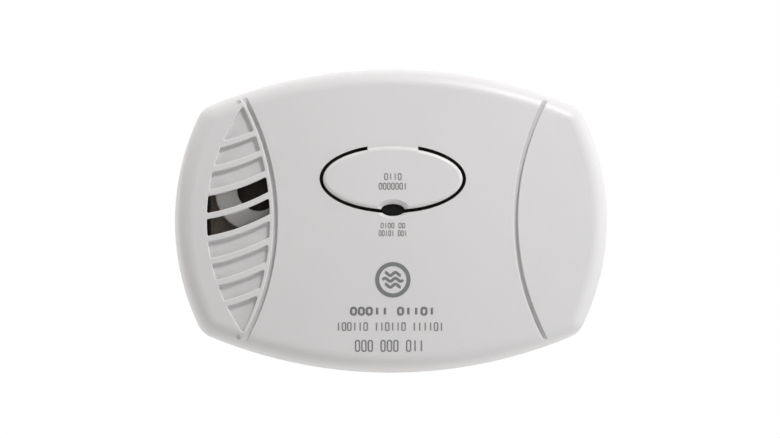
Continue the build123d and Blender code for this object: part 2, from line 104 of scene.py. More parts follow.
def make_camera():
    data = bpy.data.cameras.new("camera")
    camera = link(bpy.data.objects.new("camera", data))
    target = Vector((CASE_X, -AIM_DEPTH, CASE_Z)) + AIM_OFFSET
    level = math.cos(CAMERA_DIP)
    back = Vector((math.sin(CAMERA_TURN) * level, -math.cos(CAMERA_TURN) * level, math.sin(CAMERA_DIP)))
    camera.location = target + back * CAMERA_DISTANCE
    point_at(camera, target)
    data.sensor_width = SENSOR_WIDTH
    data.lens = SENSOR_WIDTH * CAMERA_DISTANCE / VIEW_WIDTH
    data.clip_start = 0.01
    bpy.context.scene.camera = camera


def softbox(name, place, size, power, colour, mirrored=False):
    data = bpy.data.lights.new(name, "AREA")
    data.shape = "DISK"
    data.size = size
    data.energy = power
    data.color = colour
    light = link(bpy.data.objects.new(name, data))
    light.location = Vector(place)
    light.visible_glossy = mirrored
    point_at(light, Vector((CASE_X, FACE_Y, CASE_Z)))


def make_lights():
    softbox(
        "key_softbox", place=(0.42, -0.62, 0.78), size=0.26, power=8.0, colour=(1.0, 0.995, 0.995),
        mirrored=True,
    )
    softbox("front_softbox", place=(0.0, -1.30, 0.10), size=0.70, power=1.0, colour=(0.99, 0.99, 1.0))
    softbox("right_softbox", place=(0.98, -0.30, -0.08), size=0.50, power=3.6, colour=(0.97, 0.98, 1.0))
    softbox("left_softbox", place=(-0.90, -0.24, 0.50), size=0.50, power=3.0, colour=(1.0, 0.97, 0.94))


def make_world():
    """White to the eye; as light, a dome that is brighter above and behind than below and in front."""
    world = bpy.data.worlds.new("studio")
    world.use_nodes = True
    bpy.context.scene.world = world
    tree = world.node_tree
    tree.nodes.clear()
    way = add(tree, "ShaderNodeTexCoord").outputs["Generated"]
    axes = add(tree, "ShaderNodeSeparateXYZ", {0: way}).outputs
    share = add(tree, "ShaderNodeMapRange", {"Value": axes["Z"], "From Min": -1.0, "From Max": 1.0})
    ramp = add(tree, "ShaderNodeValToRGB", {0: share.outputs[0]})
    ramp.color_ramp.elements[0].color = DOME_BELOW
    ramp.color_ramp.elements[1].color = DOME_ABOVE
    feeds = {"Value": axes["Y"], "From Min": -DOME_TURN, "From Max": DOME_TURN}
    feeds |= {"To Min": DOME_IN_FRONT, "To Max": DOME_BEHIND}
    wrap = add(tree, "ShaderNodeMapRange", feeds).outputs[0]
    dome = add(tree, "ShaderNodeBackground", {"Color": ramp.outputs[0], "Strength": wrap})
    backdrop = add(tree, "ShaderNodeBackground", {"Color": (1, 1, 1, 1), "Strength": 1.0})
    seen = add(tree, "ShaderNodeLightPath").outputs["Is Camera Ray"]
    mix = add(tree, "ShaderNodeMixShader", {0: seen, 1: dome.outputs[0], 2: backdrop.outputs[0]})
    add(tree, "ShaderNodeOutputWorld", {"Surface": mix.outputs[0]})


def make_floor():
    shape = bmesh.new()
    bmesh.ops.create_circle(shape, cap_ends=True, radius=FLOOR_RADIUS, segments=96)
    bmesh.ops.translate(shape, verts=shape.verts, vec=(0, 0, CASE_Z - FLOOR_DROP))
    floor = piece_from(shape, "floor", floor_paint())


# ---- node helpers
def add(tree, kind, feeds=None, **settings):
    """Add a node, set its options, and feed its inputs by name or number with sockets or values."""
    node = tree.nodes.new(kind)
    for option, value in settings.items():
        setattr(node, option, value)
    for key, value in (feeds or {}).items():
        if isinstance(value, bpy.types.NodeSocket):
            tree.links.new(value, node.inputs[key])
        else:
            node.inputs[key].default_value = value
    return node


def maths(tree, operation, first, second=0.0, third=0.0, clamp=False):
    feeds = {0: first, 1: second, 2: third}
    return add(tree, "ShaderNodeMath", feeds, operation=operation, use_clamp=clamp).outputs[0]


def blend_colours(tree, share, first, second):
    feeds = {0: share, 6: first, 7: second}
    return add(tree, "ShaderNodeMix", feeds, data_type="RGBA").outputs[2]


def shader_group(name, inputs, outputs):
    """A shader node group with named inputs and outputs; returns its tree and its two end nodes."""
    tree = bpy.data.node_groups.new(name, "ShaderNodeTree")
    for label, kind, value in inputs:
        socket = tree.interface.new_socket(label, in_out="INPUT", socket_type="NodeSocket" + kind)
        if value is not None:
            socket.default_value = value
    for label, kind in outputs:
        tree.interface.new_socket(label, in_out="OUTPUT", socket_type="NodeSocket" + kind)
    return tree, tree.nodes.new("NodeGroupInput"), tree.nodes.new("NodeGroupOutput")


def use(tree, group, feeds):
    node = tree.nodes.new("ShaderNodeGroup")
    node.node_tree = group
    for label, value in feeds.items():
        if isinstance(value, bpy.types.NodeSocket):
            tree.links.new(value, node.inputs[label])
        else:
            node.inputs[label].default_value = value
    return node


# ---- shared surface effects
CONVEX_FROM = 0.51
HOLLOW_BELOW = 0.485
HOLLOW_GAIN = 14.0
COARSE_SHARE = 0.06


def make_tone_drift():
    """Slow drift between a colour and a second shade of it."""
    inputs = [("Vector", "Vector", None), ("Colour", "Color", None), ("Shade", "Color", None)]
    inputs += [("Scale", "Float", 40.0), ("Amount", "Float", 0.5)]
    tree, start, end = shader_group("tone_drift", inputs, [("Colour", "Color")])
    feeds = {"Vector": start.outputs["Vector"], "Scale": start.outputs["Scale"], "Detail": 4.0}
    noise = add(tree, "ShaderNodeTexNoise", feeds).outputs[0]
    spread = add(tree, "ShaderNodeMapRange", {"Value": noise, "From Min": 0.32, "From Max": 0.68}).outputs[0]
    share = maths(tree, "MULTIPLY", spread, start.outputs["Amount"])
    mixed = blend_colours(tree, share, start.outputs["Colour"], start.outputs["Shade"])
    tree.links.new(mixed, end.inputs["Colour"])
    return tree


def make_moulded_grain():
    """Fine spark-eroded texture of a moulding: a height and a roughness speckle."""
    inputs = [("Vector", "Vector", None), ("Scale", "Float", 2200.0), ("Roughness", "Float", 0.5)]
    inputs += [("Variation", "Float", 0.1)]
    tree, start, end = shader_group("moulded_grain", inputs, [("Height", "Float"), ("Roughness", "Float")])
    feeds = {"Vector": start.outputs["Vector"], "Scale": start.outputs["Scale"], "Detail": 2.0}
    pits = add(tree, "ShaderNodeTexNoise", feeds).outputs[0]
    coarse = maths(tree, "MULTIPLY", start.outputs["Scale"], COARSE_SHARE)
    feeds = {"Vector": start.outputs["Vector"], "Scale": coarse, "Detail": 3.0}
    sheen = add(tree, "ShaderNodeTexNoise", feeds).outputs[0]
    both = maths(tree, "ADD", maths(tree, "MULTIPLY", pits, 0.5), maths(tree, "MULTIPLY", sheen, 0.5))
    shift = maths(tree, "MULTIPLY", maths(tree, "SUBTRACT", both, 0.5), start.outputs["Variation"])
    tree.links.new(pits, end.inputs["Height"])
    rough = maths(tree, "ADD", start.outputs["Roughness"], shift, clamp=True)
    tree.links.new(rough, end.inputs["Roughness"])
    return tree


def make_edge_wear_and_highlight():
    """Convex edges pulled towards a second colour: on the white plastics a lighter one, a painted highlight;
    on metal, print and sleeves, rubbed wear.
    """
    inputs = [("Vector", "Vector", None), ("Colour", "Color", None), ("Worn and highlit", "Color", None)]
    inputs += [("Amount", "Float", 0.4), ("Sharpness", "Float", 9.0), ("Patches", "Float", 160.0)]
    tree, start, end = shader_group("edge_wear_and_highlight", inputs, [("Colour", "Color"), ("Mask", "Float")])
    bend = add(tree, "ShaderNodeNewGeometry").outputs["Pointiness"]
    convex = maths(tree, "SUBTRACT", bend, CONVEX_FROM)
    ridge = maths(tree, "MULTIPLY", convex, start.outputs["Sharpness"], clamp=True)
    feeds = {"Vector": start.outputs["Vector"], "Scale": start.outputs["Patches"], "Detail": 3.0}
    noise = add(tree, "ShaderNodeTexNoise", feeds).outputs[0]
    patch = add(tree, "ShaderNodeMapRange", {"Value": noise, "From Min": 0.35, "From Max": 0.6}).outputs[0]
    mask = maths(tree, "MULTIPLY", maths(tree, "MULTIPLY", ridge, patch), start.outputs["Amount"])
    mixed = blend_colours(tree, mask, start.outputs["Colour"], start.outputs["Worn and highlit"])
    tree.links.new(mixed, end.inputs["Colour"])
    tree.links.new(mask, end.inputs["Mask"])
    return tree


def make_dust_settle():
    """Dust on what faces up and in inside corners."""
    inputs = [("Vector", "Vector", None), ("Colour", "Color", None), ("Dust", "Color", None)]
    inputs += [("Amount", "Float", 0.2), ("Scale", "Float", 300.0)]
    tree, start, end = shader_group("dust_settle", inputs, [("Colour", "Color"), ("Mask", "Float")])
    geometry = add(tree, "ShaderNodeNewGeometry")
    upward = add(tree, "ShaderNodeSeparateXYZ", {0: geometry.outputs["Normal"]}).outputs["Z"]
    shelf = add(tree, "ShaderNodeMapRange", {"Value": upward, "From Min": 0.3, "From Max": 1.0}).outputs[0]
    hollow = maths(tree, "SUBTRACT", HOLLOW_BELOW, geometry.outputs["Pointiness"])
    corner = maths(tree, "MULTIPLY", hollow, HOLLOW_GAIN, clamp=True)
    feeds = {"Vector": start.outputs["Vector"], "Scale": start.outputs["Scale"], "Detail": 4.0}
    noise = add(tree, "ShaderNodeTexNoise", feeds).outputs[0]
    fluff = add(tree, "ShaderNodeMapRange", {"Value": noise, "From Min": 0.35, "From Max": 0.75}).outputs[0]
    both = maths(tree, "MAXIMUM", shelf, corner)
    mask = maths(tree, "MULTIPLY", maths(tree, "MULTIPLY", both, fluff), start.outputs["Amount"])
    mixed = blend_colours(tree, mask, start.outputs["Colour"], start.outputs["Dust"])
    tree.links.new(mixed, end.inputs["Colour"])
    tree.links.new(mask, end.inputs["Mask"])
    return tree


def make_brushed_lines():
    """Long fine streaks of rolled or turned metal: a height and a roughness."""
    inputs = [("Vector", "Vector", None), ("Stretch", "Vector", (1.0, 1.0, 1.0)), ("Scale", "Float", 900.0)]
    inputs += [("Roughness", "Float", 0.3), ("Variation", "Float", 0.2)]
    tree, start, end = shader_group("brushed_lines", inputs, [("Height", "Float"), ("Roughness", "Float")])
    feeds = {0: start.outputs["Vector"], 1: start.outputs["Stretch"]}
    pulled = add(tree, "ShaderNodeVectorMath", feeds, operation="MULTIPLY").outputs[0]
    feeds = {"Vector": pulled, "Scale": start.outputs["Scale"], "Detail": 3.0}
    streak = add(tree, "ShaderNodeTexNoise", feeds).outputs[0]
    shift = maths(tree, "MULTIPLY", maths(tree, "SUBTRACT", streak, 0.5), start.outputs["Variation"])
    tree.links.new(streak, end.inputs["Height"])
    rough = maths(tree, "ADD", start.outputs["Roughness"], shift, clamp=True)
    tree.links.new(rough, end.inputs["Roughness"])
    return tree


TONE_DRIFT = make_tone_drift()
MOULDED_GRAIN = make_moulded_grain()
EDGE_WEAR_AND_HIGHLIGHT = make_edge_wear_and_highlight()
DUST_SETTLE = make_dust_settle()
BRUSHED_LINES = make_brushed_lines()


# ---- finishes
SPOT_MARGIN = 0.4 * MM
BRASS_METALLIC = 0.8
BAND_INSET = 11.5 * MM
BAND_HALF = 2.2 * MM
DUST_COLOUR = (0.33, 0.31, 0.28, 1)


def new_finish(name):
    material = bpy.data.materials.new(name)
    material.use_nodes = True
    tree = material.node_tree
    shader = tree.nodes["Principled BSDF"]
    place = add(tree, "ShaderNodeTexCoord").outputs["Object"]
    return material, tree, shader, place


def colour_of(red, green, blue):
    return (red, green, blue, 1)


def darker(colour, share):
    return (colour[0] * share, colour[1] * share, colour[2] * share, 1)


def bump_from(tree, shader, height, depth, strength=1.0):
    feeds = {"Height": height, "Distance": depth, "Strength": strength}
    normal = add(tree, "ShaderNodeBump", feeds).outputs[0]
    tree.links.new(normal, shader.inputs["Normal"])


def skin_from(tree, shader, skin, depth, strength=1.0):
    """Roughness and fine relief, both from one group of grain or lines."""
    tree.links.new(skin.outputs["Roughness"], shader.inputs["Roughness"])
    bump_from(tree, shader, skin.outputs["Height"], depth, strength)


def weathered(tree, place, colour, shade, drift, drift_scale, worn_and_highlit, wear_and_highlight, dust):
    """Tone drift, then convex edges pulled to a second colour (rubbed wear, and on the plastics a painted
    highlight), then dust; returns the colour.
    """
    feeds = {"Vector": place, "Colour": colour, "Shade": shade, "Scale": drift_scale, "Amount": drift}
    tone = use(tree, TONE_DRIFT, feeds).outputs["Colour"]
    edges = use(tree, EDGE_WEAR_AND_HIGHLIGHT, {"Vector": place, "Colour": tone, "Worn and highlit": worn_and_highlit, "Amount": wear_and_highlight})
    feeds = {"Vector": place, "Colour": edges.outputs["Colour"], "Dust": DUST_COLOUR, "Amount": dust}
    return use(tree, DUST_SETTLE, feeds).outputs["Colour"]


def moulded_plastic(name, colour, rough, depth=0.012 * MM, grain=2200.0, drift=0.5, dust=0.10, wear_and_highlight=0.25):
    """Satin moulding with a fine grain; edges a little lighter, a painted highlight; corners a little dusty.
    """
    material, tree, shader, place = new_finish(name)
    # Lighter colour along convex edges: a painted highlight.
    worn_and_highlit = colour_of(*(min(1.0, part * 1.06 + 0.01) for part in colour[:3]))
    tone = weathered(tree, place, colour, darker(colour, 0.955), drift, 26.0, worn_and_highlit, wear_and_highlight, dust)
    tree.links.new(tone, shader.inputs["Base Color"])
    feeds = {"Vector": place, "Scale": grain, "Roughness": rough, "Variation": 0.16}
    skin = use(tree, MOULDED_GRAIN, feeds)
    skin_from(tree, shader, skin, depth, 0.5)
    shader.inputs["Specular IOR Level"].default_value = 0.5
    return material


def plated_metal(name, colour, rough, stretch=(1.0, 1.0, 1.0), scale=900.0, dust=0.05, wear_and_highlight=0.3):
    material, tree, shader, place = new_finish(name)
    worn_and_highlit = colour_of(*(min(1.0, part * 1.15) for part in colour[:3]))
    tone = weathered(tree, place, colour, darker(colour, 0.86), 0.7, 130.0, worn_and_highlit, wear_and_highlight, dust)
    tree.links.new(tone, shader.inputs["Base Color"])
    feeds = {"Vector": place, "Stretch": stretch, "Scale": scale, "Roughness": rough, "Variation": 0.25}
    lines = use(tree, BRUSHED_LINES, feeds)
    skin_from(tree, shader, lines, depth=0.006 * MM, strength=0.4)
    shader.inputs["Metallic"].default_value = 1.0
    return material


def smoked_acrylic():
    """Near-black polished plastic of the indicator window."""
    tint = colour_of(0.012, 0.011, 0.011)
    material = moulded_plastic("smoked_acrylic", tint, rough=0.16, depth=0.002 * MM, wear_and_highlight=0.1, dust=0.04)
    shader = material.node_tree.nodes["Principled BSDF"]
    shader.inputs["Specular IOR Level"].default_value = 0.3
    return material


def laminate_with_tracks():
    """Solder-masked board: tracks of copper show through as lighter bands with right-angled turns."""
    material, tree, shader, place = new_finish("laminate_with_tracks")
    feeds = {"Vector": place, "Scale": 260.0, "Randomness": 0.85}
    plots = add(tree, "ShaderNodeTexVoronoi", feeds, distance="MANHATTAN", feature="DISTANCE_TO_EDGE")
    feeds = {"Value": plots.outputs[0], "From Min": 0.05, "From Max": 0.09}
    tracks = add(tree, "ShaderNodeMapRange", feeds).outputs[0]
    mask = colour_of(0.60, 0.49, 0.40)
    bare = blend_colours(tree, tracks, colour_of(0.68, 0.57, 0.46), mask)
    tone = weathered(
        tree, place, bare, darker(mask, 0.8),
        drift=0.35, drift_scale=60.0, worn_and_highlit=colour_of(0.30, 0.25, 0.16), wear_and_highlight=0.2, dust=0.15,
    )
    tree.links.new(tone, shader.inputs["Base Color"])
    skin = use(tree, MOULDED_GRAIN, {"Vector": place, "Scale": 1800.0, "Roughness": 0.38, "Variation": 0.15})
    tree.links.new(skin.outputs["Roughness"], shader.inputs["Roughness"])
    height = maths(tree, "ADD", maths(tree, "MULTIPLY", tracks, -1.0), skin.outputs["Height"])
    bump_from(tree, shader, height, depth=0.02 * MM, strength=0.6)
    return material


def charcoal_felt():
    material, tree, shader, place = new_finish("charcoal_felt")
    fibres = add(tree, "ShaderNodeTexNoise", {"Vector": place, "Scale": 2600.0, "Detail": 6.0}).outputs[0]
    base = colour_of(0.018, 0.018, 0.019)
    tone = weathered(
        tree, place, base, colour_of(0.045, 0.045, 0.046),
        drift=0.9, drift_scale=900.0, worn_and_highlit=base, wear_and_highlight=0.0, dust=0.1,
    )
    tree.links.new(tone, shader.inputs["Base Color"])
    rough = maths(tree, "ADD", maths(tree, "MULTIPLY", fibres, 0.1), 0.85)
    tree.links.new(rough, shader.inputs["Roughness"])
    bump_from(tree, shader, fibres, depth=0.12 * MM, strength=0.9)
    shader.inputs["Sheen Weight"].default_value = 0.3
    return material


def horn_disc_shaded_brass():
    """Brass with a paler ceramic spot in the middle, told apart by distance from the disc's axis; both get
    the dark brown that the disc shows in the shade behind the horn, a painted shade.
    """
    material, tree, shader, place = new_finish("horn_disc_shaded_brass")
    low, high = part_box("horn_disc")
    middle = (low + high) / 2
    feeds = {"Vector": place, "Location": (-middle.x, 0.0, -middle.z)}
    centred = add(tree, "ShaderNodeMapping", feeds).outputs[0]
    feeds = {0: centred, 1: (1.0, 0.0, 1.0)}
    flat = add(tree, "ShaderNodeVectorMath", feeds, operation="MULTIPLY").outputs[0]
    reach = add(tree, "ShaderNodeVectorMath", {0: flat}, operation="LENGTH").outputs["Value"]
    spot_edge = (high.x - low.x) / 4 + SPOT_MARGIN
    spot = maths(tree, "LESS_THAN", reach, spot_edge)
    # Painted shade: brass and ceramic coloured as dark as they look in the shade behind the horn.
    shaded_brass = colour_of(0.135, 0.085, 0.045)
    shaded_paste = colour_of(0.072, 0.050, 0.036)
    tone = weathered(
        tree, place, shaded_brass, colour_of(0.055, 0.036, 0.022),
        drift=0.9, drift_scale=420.0, worn_and_highlit=shaded_brass, wear_and_highlight=0.2, dust=0.1,
    )
    spotted = weathered(
        tree, place, shaded_paste, colour_of(0.034, 0.024, 0.018),
        drift=0.9, drift_scale=700.0, worn_and_highlit=shaded_paste, wear_and_highlight=0.1, dust=0.1,
    )
    tree.links.new(blend_colours(tree, spot, tone, spotted), shader.inputs["Base Color"])
    feeds = {"Vector": centred, "Scale": 1500.0, "Roughness": 0.42, "Variation": 0.3}
    lines = use(tree, BRUSHED_LINES, feeds)
    bare_metal = maths(tree, "MULTIPLY", maths(tree, "SUBTRACT", 1.0, spot), BRASS_METALLIC)
    tree.links.new(bare_metal, shader.inputs["Metallic"])
    skin_from(tree, shader, lines, depth=0.01 * MM, strength=0.5)
    return material


def printed_ink(name, colour):
    """Pad-printed ink: slightly uneven cover with a dry, matt skin."""
    material, tree, shader, place = new_finish(name)
    lighter = colour_of(*(min(1.0, part * 1.25) for part in colour[:3]))
    tone = weathered(
        tree, place, colour, lighter,
        drift=0.7, drift_scale=1500.0, worn_and_highlit=lighter, wear_and_highlight=0.1, dust=0.05,
    )
    tree.links.new(tone, shader.inputs["Base Color"])
    skin = use(tree, MOULDED_GRAIN, {"Vector": place, "Scale": 4000.0, "Roughness": 0.62, "Variation": 0.2})
    skin_from(tree, shader, skin, depth=0.004 * MM, strength=0.5)
    return material


def cell_jacket_film():
    """Printed plastic sleeve of a cell: slate blue with a pale band near the button end."""
    material, tree, shader, place = new_finish("cell_jacket_film")
    along = add(tree, "ShaderNodeSeparateXYZ", {0: place}).outputs["X"]
    out = maths(tree, "ABSOLUTE", along)
    band_middle = cells_high.x - BAND_INSET
    from_band = maths(tree, "ABSOLUTE", maths(tree, "SUBTRACT", out, band_middle))
    band = maths(tree, "LESS_THAN", from_band, BAND_HALF)
    base = blend_colours(tree, band, colour_of(0.035, 0.055, 0.095), colour_of(0.55, 0.56, 0.57))
    shade = colour_of(0.05, 0.07, 0.11)
    worn_and_highlit = colour_of(0.4, 0.4, 0.4)
    tone = weathered(
        tree, place, base, shade,
        drift=0.25, drift_scale=180.0, worn_and_highlit=worn_and_highlit, wear_and_highlight=0.3, dust=0.1,
    )
    tree.links.new(tone, shader.inputs["Base Color"])
    skin = use(tree, MOULDED_GRAIN, {"Vector": place, "Scale": 1200.0, "Roughness": 0.28, "Variation": 0.2})
    skin_from(tree, shader, skin, depth=0.006 * MM, strength=0.4)
    shader.inputs["Coat Weight"].default_value = 0.4
    return material


def label_stock():
    """Satin polyester label: pale, with faint fibres and lifted corners gone grey."""
    material, tree, shader, place = new_finish("label_stock")
    base = colour_of(0.60, 0.61, 0.62)
    shade = colour_of(0.52, 0.52, 0.51)
    worn_and_highlit = colour_of(0.7, 0.7, 0.7)
    tone = weathered(
        tree, place, base, shade,
        drift=0.8, drift_scale=240.0, worn_and_highlit=worn_and_highlit, wear_and_highlight=0.3, dust=0.3,
    )
    tree.links.new(tone, shader.inputs["Base Color"])
    feeds = {"Vector": place, "Stretch": (0.1, 1.0, 1.0), "Scale": 2200.0}
    feeds |= {"Roughness": 0.36, "Variation": 0.2}
    lines = use(tree, BRUSHED_LINES, feeds)
    skin_from(tree, shader, lines, depth=0.005 * MM, strength=0.5)
    shader.inputs["Metallic"].default_value = 0.2
    return material


def floor_paint():
    material, tree, shader, place = new_finish("floor_paint")
    feeds = {"Vector": place, "Colour": colour_of(0.78, 0.78, 0.77), "Shade": colour_of(0.74, 0.74, 0.73)}
    tree.links.new(use(tree, TONE_DRIFT, feeds | {"Scale": 6.0}).outputs[0], shader.inputs["Base Color"])
    skin = use(tree, MOULDED_GRAIN, {"Vector": place, "Scale": 500.0, "Roughness": 0.6, "Variation": 0.1})
    skin_from(tree, shader, skin, depth=0.05 * MM, strength=0.3)
    return material


# ---- dressing the carried-over nodes
def dress(material, *names):
    for name in names:
        slots = nodes[name].data.materials
        slots.clear()
        slots.append(material)


def dress_nodes():
    """Give every carried-over node its finish: name, colour, options, then the nodes that wear it."""
    smooth_skin = 0.002 * MM
    plastics = (
        ("cover_satin", (0.700, 0.690, 0.690), {"rough": 0.42}, ("front_cover",)),
        ("button_satin", (0.708, 0.698, 0.698), {"rough": 0.38, "depth": 0.008 * MM}, ("test_button",)),
        ("housing_satin", (0.672, 0.657, 0.640), {"rough": 0.46, "dust": 0.2}, ("rear_housing",)),
        ("door_satin", (0.680, 0.665, 0.650), {"rough": 0.44, "dust": 0.2}, ("battery_door",)),
        ("bracket_satin", (0.665, 0.652, 0.636), {"rough": 0.50, "dust": 0.25}, ("mounting_bracket",)),
        # The light shield is black so that the gap round the button reads dark: a painted shade.
        ("shield_black", (0.02, 0.02, 0.02), {"rough": 0.55}, ("light_shield",)),
        ("lamp_epoxy", (0.62, 0.64, 0.42), {"rough": 0.15, "depth": smooth_skin}, ("indicator_lamps",)),
        ("switch_black", (0.025, 0.025, 0.026), {"rough": 0.45}, ("switch_body", "switch_plunger")),
        ("horn_grey", (0.80, 0.785, 0.76), {"rough": 0.45, "wear_and_highlight": 0.2}, ("horn_housing",)),
        ("chip_epoxy", (0.022, 0.022, 0.024), {"rough": 0.5}, ("microcontroller", "logic_chips")),
        ("resistor_glaze", (0.02, 0.021, 0.025), {"rough": 0.2}, ("resistors",)),
        ("ceramic_tan", (0.34, 0.24, 0.14), {"rough": 0.35}, ("ceramic_capacitors",)),
        ("ferrite_grey", (0.03, 0.03, 0.032), {"rough": 0.6, "depth": 0.03 * MM}, ("boost_inductor",)),
    )
    for name, shade, options, wearers in plastics:
        dress(moulded_plastic(name, colour_of(*shade), **options), *wearers)
    lengthwise = (1, 0.1, 1)
    pins = ("horn_pins", "sensor_pins", "chip_leads")
    sensor = ("sensor_can", "sensor_cap")
    cans = ("electrolytic_capacitors", "crystal")
    metals = (
        ("tinned_pin", (0.56, 0.56, 0.54), {"rough": 0.35}, pins),
        ("pressed_steel", (0.52, 0.52, 0.51), {"rough": 0.3, "stretch": (1, 1, 0.08)}, sensor),
        ("aluminium_can", (0.62, 0.62, 0.63), {"rough": 0.25, "stretch": lengthwise}, cans),
        ("nickel_strip", (0.60, 0.58, 0.53), {"rough": 0.3, "stretch": lengthwise}, ("contact_plates",)),
        ("zinc_screw", (0.50, 0.51, 0.53), {"rough": 0.3, "wear_and_highlight": 0.8}, ("case_screws", "board_screws")),
    )
    for name, shade, options, wearers in metals:
        dress(plated_metal(name, colour_of(*shade), **options), *wearers)
    dress(smoked_acrylic(), "indicator_window")
    dress(laminate_with_tracks(), "circuit_board")
    dress(horn_disc_shaded_brass(), "horn_disc")
    dress(charcoal_felt(), "sensor_filter")
    dress(label_stock(), "rear_label")


# ---- mesh helpers
def piece_from(shape, name, material):
    mesh = bpy.data.meshes.new(name)
    shape.to_mesh(mesh)
    shape.free()
    mesh.materials.append(material)
    return link(bpy.data.objects.new(name, mesh))


def smooth(piece, angle=math.radians(40)):
    piece.data.shade_smooth()
    shape = bmesh.new()
    shape.from_mesh(piece.data)
    for edge in shape.edges:
        edge.smooth = len(edge.link_faces) == 2 and edge.calc_face_angle() < angle
    shape.to_mesh(piece.data)
    shape.free()


def finish_piece(piece, body, replaced=()):
    smooth(piece)
    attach(piece, body)
    if replaced:
        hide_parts(*replaced)


def gather(parts, name):
    """Join plain meshes that share one material into one piece."""
    shape = bmesh.new()
    for part in parts:
        shape.from_mesh(part.data)
        material = part.data.materials[0]
        bpy.data.objects.remove(part)
    return piece_from(shape, name, material)


def add_lathe(shape, profile, y, z, segments=64):
    """Add a closed solid turned about a line along X; profile goes from end to end as (x, radius)."""
    rings = []
    for x, radius in profile:
        if radius == 0:
            rings.append([shape.verts.new((x, y, z))])
            continue
        turns = [2 * math.pi * step / segments for step in range(segments)]
        ring = [(x, y + radius * math.cos(turn), z + radius * math.sin(turn)) for turn in turns]
        rings.append([shape.verts.new(point) for point in ring])
    for near, far in zip(rings, rings[1:]):
        for step in range(segments):
            after = (step + 1) % segments
            corners = [near[step % len(near)], near[after % len(near)]]
            corners += [far[after % len(far)], far[step % len(far)]]
            shape.faces.new(list(dict.fromkeys(corners)))


def add_ribbon(shape, path, width, closed=False):
    """Add a thin closed slab of ink along a path of (x, z) on the crowned face."""
    rows = []
    count = len(path)
    for index, (x, z) in enumerate(path):
        before = path[index - 1] if closed or index else path[0]
        after = path[(index + 1) % count] if closed or index < count - 1 else path[-1]
        along = Vector((after[0] - before[0], after[1] - before[1])).normalized()
        row = []
        for side, layer in ((1, 1), (-1, 1), (-1, -1), (1, -1)):
            at_x = x - side * along.y * width / 2
            at_z = z + side * along.x * width / 2
            row.append(shape.verts.new((at_x, face_y(at_x, at_z, layer * INK_THICKNESS), at_z)))
        rows.append(row)
    pairs = list(zip(rows, rows[1:])) + ([(rows[-1], rows[0])] if closed else [])
    for near, far in pairs:
        for corner in range(4):
            after = (corner + 1) % 4
            shape.faces.new((near[corner], far[corner], far[after], near[after]))
    if not closed:
        shape.faces.new(rows[0])
        shape.faces.new(reversed(rows[-1]))


def outward(shape):
    bmesh.ops.recalc_face_normals(shape, faces=shape.faces)


# ---- geometry trees
FRAME_ROUNDING = 0.42


def geometry_tree(name, inputs):
    """A geometry tree with named inputs that always ends in one geometry output."""
    tree = bpy.data.node_groups.new(name, "GeometryNodeTree")
    for label, kind in inputs.items():
        tree.interface.new_socket(label, in_out="INPUT", socket_type="NodeSocket" + kind)
    tree.interface.new_socket("Material", in_out="INPUT", socket_type="NodeSocketMaterial")
    tree.interface.new_socket("Geometry", in_out="OUTPUT", socket_type="NodeSocketGeometry")
    return tree, tree.nodes.new("NodeGroupInput").outputs


def close_tree(tree, start, geometry):
    solid = add(tree, "GeometryNodeRealizeInstances", {0: geometry}).outputs[0]
    dressed = add(tree, "GeometryNodeSetMaterial", {"Geometry": solid, "Material": start["Material"]})
    add(tree, "NodeGroupOutput", {0: dressed.outputs[0]})


def grow(tree, name, material, values):
    """Run a geometry tree once with these input values, and keep the result as a plain mesh."""
    piece = link(bpy.data.objects.new(name, bpy.data.meshes.new(name)))
    modifier = piece.modifiers.new("shape", "NODES")
    modifier.node_group = tree
    for item in tree.interface.items_tree:
        if item.in_out == "INPUT":
            modifier[item.identifier] = material if item.name == "Material" else values[item.name]
    graph = bpy.context.evaluated_depsgraph_get()
    made = bpy.data.meshes.new_from_object(piece.evaluated_get(graph))
    piece.modifiers.remove(modifier)
    piece.data = made
    return piece


